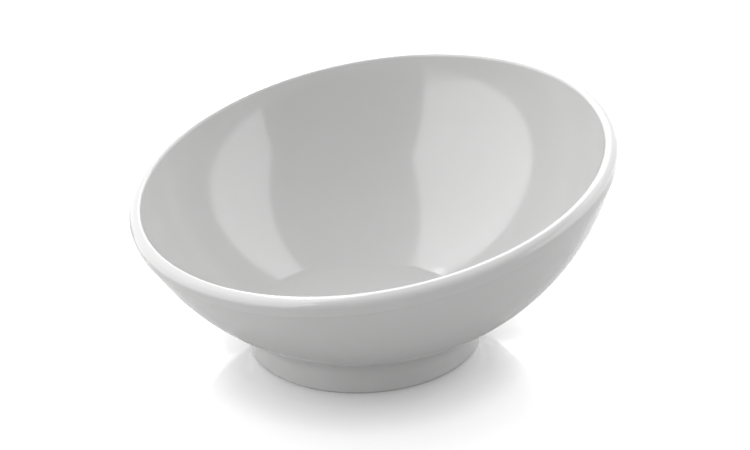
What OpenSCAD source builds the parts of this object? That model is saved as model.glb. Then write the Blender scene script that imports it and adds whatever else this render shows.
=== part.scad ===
// Angled serving bowl: a round bowl tipped on a level foot ring, so that its rim slants from a
// low front up to a high back. The real bowl is one glossy white moulding. It is divided here
// where its own features meet: rim bead, wall, inner floor and foot ring.
// Frame: millimetres, origin at the middle of the foot ring on the standing plane, +Z up,
// +Y towards the high side of the rim. The -X and +X halves mirror each other.

/* [Rim] */
// Radius of the outside of the rim bead
rim_r = 118.2; // [117.9:0.1:119]
// Height of the middle of the rim above the standing plane
rim_h = 97; // [96:0.5:99]
// Slant of the rim from level, in degrees
rim_tilt = 15; // [14:0.25:16]
// How far the middle of the rim lies towards the high side
rim_shift = 8.6; // [7:0.2:10]
// Height of the bead, from the crest down to the step above the wall
bead_h = 6.4; // [5.5:0.1:8]
// Rounding on the outside of the crest
crest_out_r = 2.4; // [1.5:0.1:2.8]
// Rounding on the inside of the crest
crest_in_r = 1.3; // [0.8:0.1:1.8]
// Rounding on the lower edge of the bead
bead_edge_r = 0.5; // [0.3:0.1:0.6]

/* [Bowl] */
// Radius of the arc that shapes the outside of the wall
wall_arc_r = 108.2; // [108:0.1:108.5]
// Distance of the arc's centre from the bowl's own axis
arc_centre_r = 11.3; // [11:0.1:11.5]
// Height of the arc's centre above the plane of the rim
arc_centre_h = 14.8; // [14.5:0.1:15.2]
// Thickness of the wall
wall_t = 6; // [5:0.1:7]
// Height of the flat inner floor above the standing plane
floor_h = 17; // [16.8:0.1:18.5]
// Thickness of the floor
floor_t = 7.5; // [7:0.25:8]

/* [Foot] */
// Radius of the foot ring
foot_r = 60; // [59:0.5:61]
// Thickness of the foot ring
foot_t = 6; // [5:0.5:8]
// Height at which the foot starts to flare out into the wall
flare_h = 9.6; // [9.5:0.1:9.8]
// Radius of the flare between foot and wall
flare_r = 9; // [8.5:0.25:9]
// Rounding on the edges the foot stands on
foot_edge_r = 1.2; // [0.8:0.1:1.5]

/* [Output] */
// Sub-part to draw

/* [Hidden] */
$fn = 180;
white = [0.93, 0.93, 0.92];
inner_arc_r = wall_arc_r - wall_t;
// Rounding inside the crest: its centre, and the height where it runs into the inner arc
lip_r = arc_centre_r + sqrt(pow(inner_arc_r + crest_in_r, 2) - pow(arc_centre_h + crest_in_r, 2));
lip_low = arc_centre_h - inner_arc_r * (arc_centre_h + crest_in_r) / (inner_arc_r + crest_in_r);
// Slope at which the wall leaves the foot, in degrees, and the flare's outer radius there
leave_slope = 29;
flare_end_r = foot_r + flare_r * (1 - sin(leave_slope));
hollow_r = foot_r - foot_t;
hollow_h = floor_h - floor_t;
reach = 2 * rim_r;

// Places its children in the plane of the slanted rim, on the bowl's own axis
module on_rim() {
  translate([0, rim_shift, rim_h])
    rotate([rim_tilt, 0, 0])
      children();
}

// Half section of a bowl-shaped body below a given height in the rim plane's frame
module bowl_section(arc_r, top) {
  low = arc_centre_h - arc_r;
  intersection() {
    union() {
      translate([arc_centre_r, arc_centre_h])
        circle(r = arc_r);
      translate([0, low])
        square([arc_centre_r, arc_r]);
    }
    translate([0, low - 1])
      square([arc_centre_r + arc_r + 1, top - low + 1]);
  }
}

// Solid bowl-shaped body on the slanted axis
module bowl_body(arc_r, top) {
  on_rim()
    rotate_extrude()
      bowl_section(arc_r, top);
}

// Level slab that covers the whole bowl between two heights
module slab(low, high) {
  translate([-reach, -reach, low])
    cube([2 * reach, 2 * reach, high - low]);
}

// Bead round the slanted rim: flat crest, rounded edges and a straight outer band
module rim_bead() {
  color(white)
    on_rim()
      rotate_extrude()
        difference() {
          union() {
            difference() {
              translate([0, -bead_h])
                square([rim_r, bead_h]);
              translate([0, lip_low])
                square([lip_r, -lip_low + 1]);
              translate([rim_r - crest_out_r, -crest_out_r])
                square([crest_out_r + 1, crest_out_r + 1]);
              translate([rim_r - bead_edge_r, -bead_h - 1])
                square([bead_edge_r + 1, bead_edge_r + 1]);
            }
            translate([lip_r, -crest_in_r])
              circle(r = crest_in_r);
            translate([rim_r - crest_out_r, -crest_out_r])
              circle(r = crest_out_r);
            translate([rim_r - bead_edge_r, -bead_h + bead_edge_r])
              circle(r = bead_edge_r);
          }
          bowl_section(inner_arc_r, 1);
        }
}

// Curved wall from the bead down to the level underside inside the foot ring
module bowl_wall() {
  color(white)
    intersection() {
      difference() {
        bowl_body(wall_arc_r, -bead_h);
        bowl_body(inner_arc_r, 1);
      }
      slab(hollow_h, reach);
    }
}

// Level floor that fills the lowest part of the bowl and gives it a flat well
module well_floor() {
  color(white)
    intersection() {
      bowl_body(inner_arc_r, 1);
      slab(hollow_h, floor_h);
    }
}

// Level ring the bowl stands on, flared outwards where it runs into the wall
module foot_ring() {
  color(white)
    difference() {
      rotate_extrude()
        foot_section();
      bowl_body(wall_arc_r, -bead_h);
    }
}

// Half section of the ring, drawn up into the wall that trims it
module foot_section() {
  difference() {
    union() {
      translate([hollow_r, foot_edge_r])
        square([foot_t, floor_h]);
      translate([hollow_r + foot_edge_r, 0])
        square([foot_t - 2 * foot_edge_r, floor_h]);
      translate([hollow_r + foot_edge_r, foot_edge_r])
        circle(r = foot_edge_r);
      translate([foot_r - foot_edge_r, foot_edge_r])
        circle(r = foot_edge_r);
      translate([foot_r - 1, flare_h])
        square([flare_end_r - foot_r + 1, floor_h - flare_h + foot_edge_r]);
    }
    translate([foot_r + flare_r, flare_h])
      circle(r = flare_r);
  }
}

rim_bead();
bowl_wall();
well_floor();
foot_ring();
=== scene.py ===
"""White angled serving bowl on a pale studio table. Metres throughout, in the CAD's own frame."""

import math

import bpy
import numpy as np
from mathutils import Matrix, Vector


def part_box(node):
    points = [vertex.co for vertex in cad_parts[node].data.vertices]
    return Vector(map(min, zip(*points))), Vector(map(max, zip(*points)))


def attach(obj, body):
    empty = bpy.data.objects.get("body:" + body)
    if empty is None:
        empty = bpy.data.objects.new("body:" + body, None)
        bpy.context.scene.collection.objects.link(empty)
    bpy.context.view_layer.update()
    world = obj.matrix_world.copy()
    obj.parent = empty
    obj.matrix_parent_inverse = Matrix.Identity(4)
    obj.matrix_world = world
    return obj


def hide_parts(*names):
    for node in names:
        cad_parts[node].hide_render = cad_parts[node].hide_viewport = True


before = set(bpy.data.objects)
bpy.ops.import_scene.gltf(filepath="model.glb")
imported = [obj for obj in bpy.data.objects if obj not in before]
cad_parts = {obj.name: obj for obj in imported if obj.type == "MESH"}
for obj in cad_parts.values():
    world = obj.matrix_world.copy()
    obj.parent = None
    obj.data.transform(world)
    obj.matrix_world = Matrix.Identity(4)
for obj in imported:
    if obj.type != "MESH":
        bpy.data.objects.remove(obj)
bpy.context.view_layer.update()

# ---------------------------------------------------------------- sizes
MM = 0.001
rim_lo, rim_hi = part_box("rim_bead")
well_lo, well_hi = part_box("well_floor")

RIM_R = (rim_hi.x - rim_lo.x) / 2          # outside of the bead
TILT = math.radians(15)                    # slant of the rim
BEAD_H = 6.4 * MM                          # crest to step
CREST_OUT = 2.4 * MM                       # roundings of the crest
CREST_IN = 1.3 * MM
CROWN = math.radians(7)                    # how far the crest falls away at its edges
CREST_DROP = 0.09 * MM                     # keeps the crown below the plane of the rim
BEAD_EDGE = 0.35 * MM                      # lower edge of the bead
STEP_COVE = 0.2 * MM                       # cove between bead and wall
OUTER_R = 108.2 * MM                       # arc of the outside of the wall
WALL_T = 6.0 * MM
ARC_R = 11.3 * MM                          # that arc's centre: distance from the bowl's axis
ARC_H = 14.8 * MM                          # and height above the rim plane
INNER_R = OUTER_R - WALL_T
WELL_H = well_hi.z                         # flat inner floor
UNDER_H = well_lo.z                        # recessed underside
FOOT_R = 60.0 * MM
FOOT_T = 6.0 * MM
FOOT_EDGE = 1.2 * MM                       # roundings round the standing face
FOOT_FILLET = 1.5 * MM                     # between the foot's inner side and the underside
FLARE_R = 9.0 * MM                         # flare between foot and wall
UNDER_MID_R = 25 * MM                      # last ring of the underside before its level middle
UNDER_MID_Y = -4 * MM
FLOOR_BLEND = 0.8 * MM                     # how softly the floor runs into the wall
UNDER_BLEND = 1.0 * MM                     # and the recess into the wall above it
COS, SIN = math.cos(TILT), math.sin(TILT)
CAD_EDGE = 0.5 * MM                        # the CAD bead's lower rounding, which its box touches
RIM_Y = rim_hi.y - COS * (RIM_R - CAD_EDGE) - SIN * (BEAD_H - CAD_EDGE) - CAD_EDGE
RIM_Z = rim_hi.z - SIN * (RIM_R - CREST_OUT) - CREST_OUT * (1 - COS)
COLUMNS = 448                              # points round each row of the skin
# Distances from the crease, on either side, of the rows that draw its soft bend
CLOSE = [d * MM for d in (3, 2.4, 1.9, 1.5, 1.1, 0.75, 0.35)]

# ---------------------------------------------------------------- colours and light levels
WHITE = 0.68                               # base colour of the bowl
TABLE_GLOW = 0.38                          # light the table adds of its own, as seen
TABLE_BOUNCE = 0.64                        # how much it throws back onto the bowl
AMBIENT = 0.44
OVERHEAD = 0.9                             # radiance of the soft light above
STRIP = 4.0                                # and of the strip that lights the crest
# Panels: name, metres to the right of and behind the bowl, height of the lower and upper edges,
# width, direction, and radiance in soft shading and in reflections
PANELS = (
    ("right", 1.42, -0.355, 0.0, 1.5, 3.25, 40, 0.88, 1.85),
    ("left", -0.755, -0.54, 0.0, 1.5, 1.68, 164.5, 0.9, 2.2),
    ("left_back", -0.4223, 0.6593, 0.2, 1.5, 0.81, 164.5, 0.9, 2.2),
    ("back", 0, 3.8, 0.02, 2.8, 7.0, 90, 1.0, 1.4),
)
TO_RIGHT = Vector((0.859, 0.512, 0))       # level directions, as the camera sees them
TO_BACK = Vector((-0.512, 0.859, 0))


# ---------------------------------------------------------------- shape helpers
def to_row(r, theta, z):
    """Points at radius r, angle theta and height z about the bowl's slanted axis, in the row frame."""
    x, y = r * np.cos(theta), r * np.sin(theta)
    return np.stack([x, COS * y - SIN * z + RIM_Y, SIN * y + COS * z + RIM_Z + 0 * y], -1)


def to_bowl(p):
    """Row frame points as radius, angle and height about the bowl's slanted axis."""
    x, y, z = p[..., 0], p[..., 1] - RIM_Y, p[..., 2] - RIM_Z
    across, up = COS * y + SIN * z, COS * z - SIN * y
    return np.hypot(x, across), np.arctan2(across, x), up


def arc_height(x, y, radius):
    """Row height of the bowl's arc surface of that radius over the points x, y."""
    z = np.full(np.shape(x), UNDER_H)
    for _ in range(30):
        r, _, up = to_bowl(np.stack([x, y, z], -1))
        out = np.maximum(r - ARC_R, 0)
        aim = ARC_H - np.sqrt(np.maximum(radius**2 - out**2, 1e-9))
        z = z + 0.8 * (aim - up) / COS
    return z


def smooth_max(a, b, width):
    """The larger of a and b, blended where they are within width of each other."""
    h = np.maximum(width - np.abs(a - b), 0) / width
    return np.maximum(a, b) + h * h * width / 4


def arc(cr, cz, radius, start, end, n):
    """n points along a circular arc of a half section, angles in degrees."""
    t = np.radians(np.linspace(start, end, n))
    return cr + radius * np.cos(t), cz + radius * np.sin(t)


def even(a, b, n):
    """n evenly spaced numbers from a to b."""
    return [a + (b - a) * i / (n - 1) for i in range(n)]


# ---------------------------------------------------------------- the moulding as one closed grid of rows
def polar(radius, turn, height):
    """Row frame points about the foot's upright axis."""
    zero = 0 * turn
    return np.stack([radius * np.cos(turn), radius * np.sin(turn), height + zero], -1)


def section_rows(section):
    """One row of points for each point of a half section about the bowl's slanted axis."""
    return [to_row(r, theta, z) for r, z in zip(*section)]


turn = np.arange(COLUMNS) * 2 * math.pi / COLUMNS

# Where the flare leaves the wall: it touches the wall's own slope in every direction
slope = np.full(COLUMNS, math.radians(29))
for _ in range(25):
    join_r = FOOT_R + FLARE_R * (1 - np.sin(slope))
    here = arc_height(join_r * np.cos(turn), join_r * np.sin(turn), OUTER_R)
    further = join_r + 0.01 * MM
    there = arc_height(further * np.cos(turn), further * np.sin(turn), OUTER_R)
    slope = np.arctan((there - here) / (further - join_r))
flare_z = here - FLARE_R * np.cos(slope)
join = polar(join_r, turn, here)
join_bowl_r, theta, join_bowl_z = to_bowl(join)
join_turn = np.arctan2(join_bowl_r - ARC_R, ARC_H - join_bowl_z)


def inner_point(q):
    """Row frame points of the inner surface at arc length q from the bowl's axis, without the floor."""
    bend = np.maximum(q - ARC_R, 0) / INNER_R
    return to_row(np.minimum(q, ARC_R) + INNER_R * np.sin(bend), theta, ARC_H - INNER_R * np.cos(bend))


# The crease, where the wall meets the level floor
near = ARC_R + INNER_R * np.maximum(0, np.arctan(-math.tan(TILT) * np.sin(theta)))
near = np.where(np.sin(theta) > 0, 0, near)
far = np.full(COLUMNS, ARC_R + INNER_R * math.radians(60))
for _ in range(45):
    middle = (near + far) / 2
    below = inner_point(middle)[:, 2] < WELL_H
    near, far = np.where(below, middle, near), np.where(below, far, middle)
crease = (near + far) / 2


def inner_row(q):
    """Row of the inner surface at arc length q, raised to the level floor where it would lie lower."""
    p = inner_point(q)
    p[:, 2] = smooth_max(p[:, 2], WELL_H, FLOOR_BLEND)
    return p


floor_rows = [inner_row((crease - CLOSE[0]) * f) for f in even(0.08, 1, 14)]
floor_rows += [inner_row(crease - d) for d in CLOSE[1:]] + [inner_row(crease)]

bead_bottom = ARC_R + INNER_R * math.acos((ARC_H + BEAD_H) / INNER_R)
wall_in_rows = [inner_row(crease + d) for d in reversed(CLOSE)]
wall_start = crease + CLOSE[0]
wall_in_rows += [inner_row(wall_start + (bead_bottom - wall_start) * f) for f in even(0, 1, 46)[1:]]

# Bead: the top of the inner wall, the rounded crest, the outer band and the step under it
lip_z = -CREST_IN - CREST_DROP
lip_r = ARC_R + math.sqrt((INNER_R + CREST_IN) ** 2 - (ARC_H - lip_z) ** 2)
lip_angle = math.degrees(math.asin((ARC_H - lip_z) / (INNER_R + CREST_IN)))
inner_end = math.degrees(math.acos((ARC_H + BEAD_H) / INNER_R))
out_r, out_z = RIM_R - CREST_OUT, -CREST_OUT - CREST_DROP
crown = math.degrees(CROWN)
lip = arc(lip_r, lip_z, CREST_IN, 180 - lip_angle, 90 + crown, 9)
shoulder = arc(out_r, out_z, CREST_OUT, 90 - crown, 0, 12)
half = (shoulder[0][0] - lip[0][-1]) / 2
crown_r = half / math.sin(CROWN)
tip = np.linspace(-1, 1, 9)[1:-1] * CROWN
crest = ((lip[0][-1] + shoulder[0][0]) / 2 + crown_r * np.sin(tip),
         (lip[1][-1] + shoulder[1][0]) / 2 + crown_r * (np.cos(tip) - math.cos(CROWN)))
band_z = np.linspace(out_z, -BEAD_H + BEAD_EDGE, 6)[1:]
band = (np.full(5, RIM_R), band_z)
edge = arc(RIM_R - BEAD_EDGE, -BEAD_H + BEAD_EDGE, BEAD_EDGE, 0, -90, 6)
cove_z = -BEAD_H - STEP_COVE
cove_r = ARC_R + math.sqrt((OUTER_R + STEP_COVE) ** 2 - (ARC_H - cove_z) ** 2)
cove_turn = math.acos((ARC_H - cove_z) / (OUTER_R + STEP_COVE))
top_in = arc(ARC_R, ARC_H, INNER_R, inner_end - 90, -lip_angle, 7)
cove = arc(cove_r, cove_z, STEP_COVE, 90, 90 + math.degrees(cove_turn), 6)
bead_rows = []
for part in (top_in, tuple(a[1:] for a in lip), crest, shoulder, band, tuple(a[1:] for a in edge),
             tuple(a[:1] for a in cove)):
    bead_rows += section_rows(part)

wall_out_rows = section_rows(cove)
for f in even(0, 1, 60)[1:]:
    bend = cove_turn + (join_turn - cove_turn) * f
    wall_out_rows.append(to_row(ARC_R + OUTER_R * np.sin(bend), theta, ARC_H - OUTER_R * np.cos(bend)))

# Foot: flare, upright side, rounded edges round the standing face, and the side of the recess
foot_rows = []
for f in even(0, 1, 14):
    angle = math.pi / 2 + slope + (math.pi / 2 - slope) * f
    flare_r = FOOT_R + FLARE_R * (1 + np.cos(angle))
    foot_rows.append(polar(flare_r, turn, flare_z + FLARE_R * np.sin(angle)))
for f in even(0, 1, 8)[1:]:
    foot_rows.append(polar(FOOT_R, turn, flare_z + (FOOT_EDGE - flare_z) * f))
for r, z in list(zip(*arc(FOOT_R - FOOT_EDGE, FOOT_EDGE, FOOT_EDGE, 0, -90, 8)))[1:]:
    foot_rows.append(polar(r, turn, z))
inner_side = FOOT_R - FOOT_T
for r, z in zip(*arc(inner_side + FOOT_EDGE, FOOT_EDGE, FOOT_EDGE, -90, -180, 8)):
    foot_rows.append(polar(r, turn, z))


def under_row(radius, centre_y):
    """A ring of the underside inside the foot, level in the middle and following the bowl near the foot."""
    x, y = radius * np.cos(turn), radius * np.sin(turn) + centre_y
    return np.stack([x, y, smooth_max(arc_height(x, y, OUTER_R), UNDER_H, UNDER_BLEND)], -1)


side_top = under_row(inner_side, 0)[:, 2] - FOOT_FILLET
under_edge = under_row(inner_side - FOOT_FILLET, 0)
for f in even(0, 1, 5)[1:]:
    foot_rows.append(polar(inner_side, turn, FOOT_EDGE + (side_top - FOOT_EDGE) * f))
for f in even(0, math.pi / 2, 7)[1:]:
    foot_rows.append(polar(inner_side - FOOT_FILLET * (1 - math.cos(f)), turn,
                           side_top + (under_edge[:, 2] - side_top) * math.sin(f)))

under_rows = []
for f in even(0, 1, 26):
    ring_r = (inner_side - FOOT_FILLET) * (1 - f) + UNDER_MID_R * f
    under_rows.append(under_row(ring_r, UNDER_MID_Y * f))
disc_rows = [under_row(UNDER_MID_R * f, UNDER_MID_Y) for f in (1, 0.66, 0.33)]

top_pole = np.array([0, RIM_Y - SIN * (ARC_H - INNER_R), WELL_H])
low_pole = np.array([0, UNDER_MID_Y, UNDER_H])


def grid_faces(count):
    """Quads between count consecutive rows of COLUMNS points."""
    k = np.arange(COLUMNS)
    n = (k + 1) % COLUMNS
    faces = []
    for i in range(count - 1):
        a, b = i * COLUMNS, (i + 1) * COLUMNS
        faces.append(np.stack([a + k, a + n, b + n, b + k], -1))
    return np.concatenate(faces)


def full_normals(rows):
    """Area weighted normals of the whole closed skin, shared by the pieces so that no join shows."""
    grid = np.array(rows)
    count = len(rows)
    right = np.roll(grid, -1, axis=1)
    cross = np.cross(right[1:] - grid[:-1], grid[1:] - right[:-1])
    total = np.zeros_like(grid)
    for part in (cross, np.roll(cross, 1, axis=1)):
        total[:-1] += part
        total[1:] += part
    for end, pole in ((0, top_pole), (count - 1, low_pole)):
        fan = np.cross(grid[end] - pole, right[end] - pole) * (1 if end == 0 else -1)
        total[end] += fan + np.roll(fan, 1, axis=0)
    return total / np.maximum(np.linalg.norm(total, axis=2, keepdims=True), 1e-18)


# Rows from the inside of the floor over the rim to the middle of the underside. Rows where two
# pieces meet are listed once here and used by both.
groups = [floor_rows, wall_in_rows]
groups += [rows[1:] for rows in (bead_rows, wall_out_rows, foot_rows, under_rows, disc_rows)]
all_rows = [row for group in groups for row in group]
starts = np.cumsum([0] + [len(g) for g in groups])
normals = full_normals(all_rows)
if normals[3, 0, 2] < 0:
    normals = -normals


def sum_volume(verts, faces):
    """Six times the signed volume enclosed by the faces."""
    total = 0.0
    for size in (3, 4):
        chosen = np.array([f for f in faces if len(f) == size])
        for i in range(1, size - 1):
            if len(chosen):
                a, b, c = verts[chosen[:, 0]], verts[chosen[:, i]], verts[chosen[:, i + 1]]
                total += float(np.einsum("ij,ij->", a, np.cross(b, c)))
    return total


def build(name, spans, capped=False):
    """A closed piece from spans of rows, which are joined inside the material, where nothing shows.

    A capped piece ends in the two poles, and any other closes back onto its first row.
    """
    chosen = [i for a, b in spans for i in range(a, b)]
    verts = np.concatenate([all_rows[i] for i in chosen])
    shade = np.concatenate([normals[i] for i in chosen])
    faces = [tuple(f) for f in grid_faces(len(chosen)).tolist()]
    last = (len(chosen) - 1) * COLUMNS
    pairs = [(j, (j + 1) % COLUMNS) for j in range(COLUMNS)]
    if capped:
        pole = len(verts)
        faces += [(pole, b, a) for a, b in pairs]
        faces += [(pole + 1, last + a, last + b) for a, b in pairs]
        verts = np.concatenate([verts, np.array([top_pole, low_pole])])
        shade = np.concatenate([shade, np.array([(0, 0, 1), (0, 0, -1)], float)])
    else:
        faces += [(last + a, last + b, b, a) for a, b in pairs]
    mesh = bpy.data.meshes.new(name)
    mesh.from_pydata(verts.tolist(), [], faces)
    mesh.validate()
    mesh.update()
    if sum_volume(verts, faces) < 0:
        mesh.flip_normals()
    for polygon in mesh.polygons:
        polygon.use_smooth = True
    mesh.normals_split_custom_set_from_vertices(shade.tolist())
    piece = bpy.data.objects.new(name, mesh)
    bpy.context.scene.collection.objects.link(piece)
    return piece


s = [int(v) for v in starts]
well = build("bowl_well_floor", [(s[0], s[1]), (s[6] - 1, s[7])], capped=True)
wall = build("bowl_wall_shell", [(s[1] - 1, s[2]), (s[3] - 1, s[4]), (s[5] - 1, s[6])])
bead = build("bowl_rim_bead", [(s[2] - 1, s[3])])
foot = build("bowl_foot_ring", [(s[4] - 1, s[5])])

for piece, cad_node, slot in (
    (bead, "rim_bead", "rim_white"),
    (wall, "bowl_wall", "wall_white"),
    (well, "well_floor", "floor_white"),
    (foot, "foot_ring", "foot_white"),
):
    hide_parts(cad_node)
    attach(piece, "root")


# ---------------------------------------------------------------- material
def node(tree, kind, **settings):
    """A new shader node with these settings."""
    made = tree.nodes.new(kind)
    for key, value in settings.items():
        setattr(made, key, value)
    return made


def noise(tree, coords, scale, detail=3.0, rough=0.55, stretch=None):
    """Noise at a real scale in blobs per metre, with the coordinates stretched if asked."""
    if stretch:
        mapping = node(tree, "ShaderNodeMapping")
        mapping.inputs["Scale"].default_value = stretch
        tree.links.new(coords, mapping.inputs["Vector"])
        coords = mapping.outputs["Vector"]
    made = node(tree, "ShaderNodeTexNoise")
    made.inputs["Scale"].default_value = scale
    made.inputs["Detail"].default_value = detail
    made.inputs["Roughness"].default_value = rough
    tree.links.new(coords, made.inputs["Vector"])
    return made.outputs["Fac"]


def ramp(tree, value, low, high, out_low=0.0, out_high=1.0):
    """value mapped from low..high to out_low..out_high, clamped."""
    made = node(tree, "ShaderNodeMapRange")
    for name, number in (("From Min", low), ("From Max", high), ("To Min", out_low), ("To Max", out_high)):
        made.inputs[name].default_value = number
    tree.links.new(value, made.inputs["Value"])
    return made.outputs["Result"]


def maths(tree, operation, a, b):
    """The result of a maths node on a and b, each a number or a socket."""
    made = node(tree, "ShaderNodeMath", operation=operation)
    for socket, value in zip(made.inputs, (a, b)):
        if isinstance(value, (int, float)):
            socket.default_value = value
        else:
            tree.links.new(value, socket)
    return made.outputs[0]


def melamine(name):
    """Glossy white moulded melamine: faint mottling, fine scuffs, and a slightly wavy polish."""
    made = bpy.data.materials.new(name)
    made.use_nodes = True
    tree = made.node_tree
    shader = tree.nodes["Principled BSDF"]
    coords = node(tree, "ShaderNodeTexCoord").outputs["Object"]
    place = node(tree, "ShaderNodeSeparateXYZ")
    tree.links.new(coords, place.inputs[0])
    height = place.outputs["Z"]

    mottle = noise(tree, coords, 22, 4)
    grain = noise(tree, coords, 900, 2)
    colour = node(tree, "ShaderNodeMix", data_type="RGBA")
    colour.inputs[6].default_value = (WHITE * 0.985, WHITE * 0.985, WHITE * 0.98, 1)
    colour.inputs[7].default_value = (WHITE, WHITE, WHITE * 0.997, 1)
    tree.links.new(ramp(tree, mottle, 0.35, 0.65), colour.inputs[0])

    # Thin streaks of two stretched noises, only on the floor of the well and near the foot's edge
    streak_a = ramp(tree, noise(tree, coords, 60, 2, 0.5, (1, 14, 1)), 0.66, 0.72)
    streak_b = ramp(tree, noise(tree, coords, 70, 2, 0.5, (12, 1.5, 1)), 0.67, 0.73)
    streaks = maths(tree, "MAXIMUM", streak_a, streak_b)
    on_floor = ramp(tree, height, WELL_H + 3 * MM, WELL_H, 0, 1)
    at_foot = ramp(tree, height, 1.8 * MM, 0.2 * MM, 0, 1)
    where = maths(tree, "MAXIMUM", maths(tree, "MULTIPLY", on_floor, 0.7), at_foot)
    rubbed = maths(tree, "MULTIPLY", streaks, where)

    worn = node(tree, "ShaderNodeMix", data_type="RGBA")
    tree.links.new(maths(tree, "MULTIPLY", rubbed, 0.35), worn.inputs[0])
    tree.links.new(colour.outputs[2], worn.inputs[6])
    worn.inputs[7].default_value = (WHITE * 0.93, WHITE * 0.93, WHITE * 0.92, 1)
    tree.links.new(worn.outputs[2], shader.inputs["Base Color"])

    rough = maths(tree, "ADD", ramp(tree, noise(tree, coords, 35, 4), 0.3, 0.7, 0.085, 0.125),
                  ramp(tree, grain, 0.3, 0.7, 0, 0.012))
    rough = maths(tree, "ADD", rough, maths(tree, "MULTIPLY", rubbed, 0.18))
    tree.links.new(rough, shader.inputs["Roughness"])

    wave = node(tree, "ShaderNodeBump")
    wave.inputs["Strength"].default_value = 0.18
    wave.inputs["Distance"].default_value = 0.02 * MM
    tree.links.new(noise(tree, coords, 240, 2), wave.inputs["Height"])
    swell = node(tree, "ShaderNodeBump")
    swell.inputs["Strength"].default_value = 0.35
    swell.inputs["Distance"].default_value = 0.14 * MM
    tree.links.new(noise(tree, coords, 32, 1), swell.inputs["Height"])
    tree.links.new(wave.outputs["Normal"], swell.inputs["Normal"])
    tree.links.new(swell.outputs["Normal"], shader.inputs["Normal"])
    shader.inputs["IOR"].default_value = 1.6
    shader.inputs["Specular IOR Level"].default_value = 0.5
    return made


finish = melamine("melamine_white")
for piece in (bead, wall, well, foot):
    piece.data.materials.append(finish)

# ---------------------------------------------------------------- table
bpy.ops.mesh.primitive_plane_add(size=16, location=(0, 0, -0.02 * MM))
table = bpy.context.object
table.name = "stage_table"
table_finish = bpy.data.materials.new("table_white")
table_finish.use_nodes = True
tree = table_finish.node_tree
shader = tree.nodes["Principled BSDF"]
coords = node(tree, "ShaderNodeTexCoord").outputs["Object"]
tint = node(tree, "ShaderNodeMix", data_type="RGBA")
tint.inputs[6].default_value = (0.89, 0.89, 0.89, 1)
tint.inputs[7].default_value = (0.91, 0.91, 0.91, 1)
tree.links.new(noise(tree, coords, 6), tint.inputs[0])
# The camera sees a table that glows a little. The bowl gets less light from it.
direct = node(tree, "ShaderNodeLightPath").outputs["Is Camera Ray"]
seen = node(tree, "ShaderNodeMix", data_type="RGBA")
tree.links.new(direct, seen.inputs[0])
seen.inputs[6].default_value = (TABLE_BOUNCE, TABLE_BOUNCE, TABLE_BOUNCE, 1)
tree.links.new(tint.outputs[2], seen.inputs[7])
tree.links.new(seen.outputs[2], shader.inputs["Base Color"])
tree.links.new(ramp(tree, noise(tree, coords, 25), 0.3, 0.7, 0.05, 0.07), shader.inputs["Roughness"])
shader.inputs["Emission Color"].default_value = (1, 1, 1, 1)
# Painted shadow: the glow fades out under and near the foot, so the table is darker there, as a real table
# would be shaded by the bowl
flat = node(tree, "ShaderNodeVectorMath", operation="LENGTH")
tree.links.new(coords, flat.inputs[0])
glow_and_painted_shadow = ramp(tree, flat.outputs["Value"], FOOT_R - 3 * MM, FOOT_R + 32 * MM, 0, TABLE_GLOW)
tree.links.new(maths(tree, "MULTIPLY", direct, glow_and_painted_shadow), shader.inputs["Emission Strength"])
table.data.materials.append(table_finish)


# ---------------------------------------------------------------- light and camera
def panel(name, right, back, low, high, width, turned, diffuse, glossy):
    """An upright soft panel facing the bowl.

    right and back are metres to the right of the bowl and behind it, as the camera sees them. turned is
    the direction the panel faces away from, in degrees from the right towards the back. diffuse and
    glossy are its radiance in soft shading and in reflections.
    """
    away = TO_RIGHT * math.cos(math.radians(turned)) + TO_BACK * math.sin(math.radians(turned))
    face = away.to_track_quat("Z", "Y").to_matrix().to_4x4()
    for kind, radiance, back_off in (("soft", diffuse, 0.03), ("gloss", glossy, 0)):
        centre = TO_RIGHT * right + TO_BACK * back + away * back_off + Vector((0, 0, (low + high) / 2))
        data = bpy.data.lights.new(f"{name}_{kind}", "AREA")
        data.shape = "RECTANGLE"
        data.size, data.size_y = width, high - low
        data.energy = radiance * math.pi * width * (high - low)
        lamp = bpy.data.objects.new(f"{name}_{kind}", data)
        lamp.matrix_world = Matrix.Translation(centre) @ face
        lamp.visible_camera = False
        lamp.visible_glossy = kind == "gloss"
        lamp.visible_diffuse = kind == "soft"
        bpy.context.scene.collection.objects.link(lamp)


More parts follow.
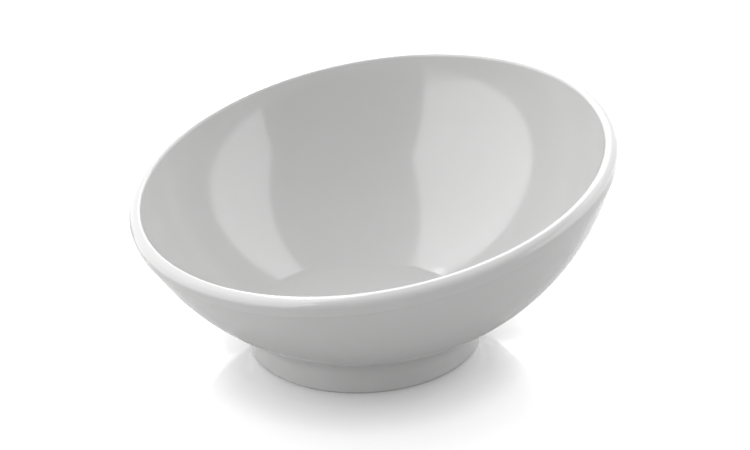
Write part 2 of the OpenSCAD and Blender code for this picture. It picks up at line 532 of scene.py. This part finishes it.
world = bpy.data.worlds.new("studio")
bpy.context.scene.world = world
world.use_nodes = True
world.node_tree.nodes["Background"].inputs["Color"].default_value = (1, 1, 1, 1)
world.node_tree.nodes["Background"].inputs["Strength"].default_value = AMBIENT

target = Vector((6.2, 3.7, 59.1)) * MM
forward = Vector((-0.47858, 0.80344, -0.35417)).normalized()
level = forward.cross(Vector((0, 0, 1))).normalized()
upright = level.cross(forward)
roll = math.radians(1.98)
across = math.cos(roll) * level - math.sin(roll) * upright
upward = math.sin(roll) * level + math.cos(roll) * upright
eye = target - 389.4 * MM * forward

lens = bpy.data.cameras.new("camera")
lens.sensor_width = 36
lens.sensor_fit = "HORIZONTAL"
lens.lens = 37.42
lens.clip_start = 0.01
lens.clip_end = 50
camera = bpy.data.objects.new("camera", lens)
camera.matrix_world = Matrix.Translation(eye) @ Matrix((across, upward, -forward)).transposed().to_4x4()
bpy.context.scene.collection.objects.link(camera)
bpy.context.scene.camera = camera
bpy.context.scene.view_settings.view_transform = "Standard"

for settings in PANELS:
    panel(*settings)

# A bright strip high behind the bowl, which shows only in the crest of the rim
strip = bpy.data.lights.new("crest_strip", "AREA")
strip.shape = "RECTANGLE"
strip.size, strip.size_y = 1.35, 0.97
strip.energy = STRIP * math.pi * strip.size * strip.size_y
strip_lamp = bpy.data.objects.new("crest_strip", strip)
strip_place = TO_RIGHT * -0.07 + TO_BACK * 1.885 + Vector((0, 0, 1.64))
strip_face = strip_place.to_track_quat("Z", "Y").to_matrix().to_4x4()
strip_lamp.matrix_world = Matrix.Translation(strip_place) @ strip_face
strip_lamp.visible_camera = False
strip_lamp.visible_diffuse = False
bpy.context.scene.collection.objects.link(strip_lamp)

sky = bpy.data.lights.new("overhead", "AREA")
sky.size = 1.6
sky.energy = OVERHEAD * math.pi * sky.size**2
sky_lamp = bpy.data.objects.new("overhead", sky)
sky_lamp.location = (0, 0, 1.8)
sky_lamp.visible_camera = False
sky_lamp.visible_glossy = False
bpy.context.scene.collection.objects.link(sky_lamp)
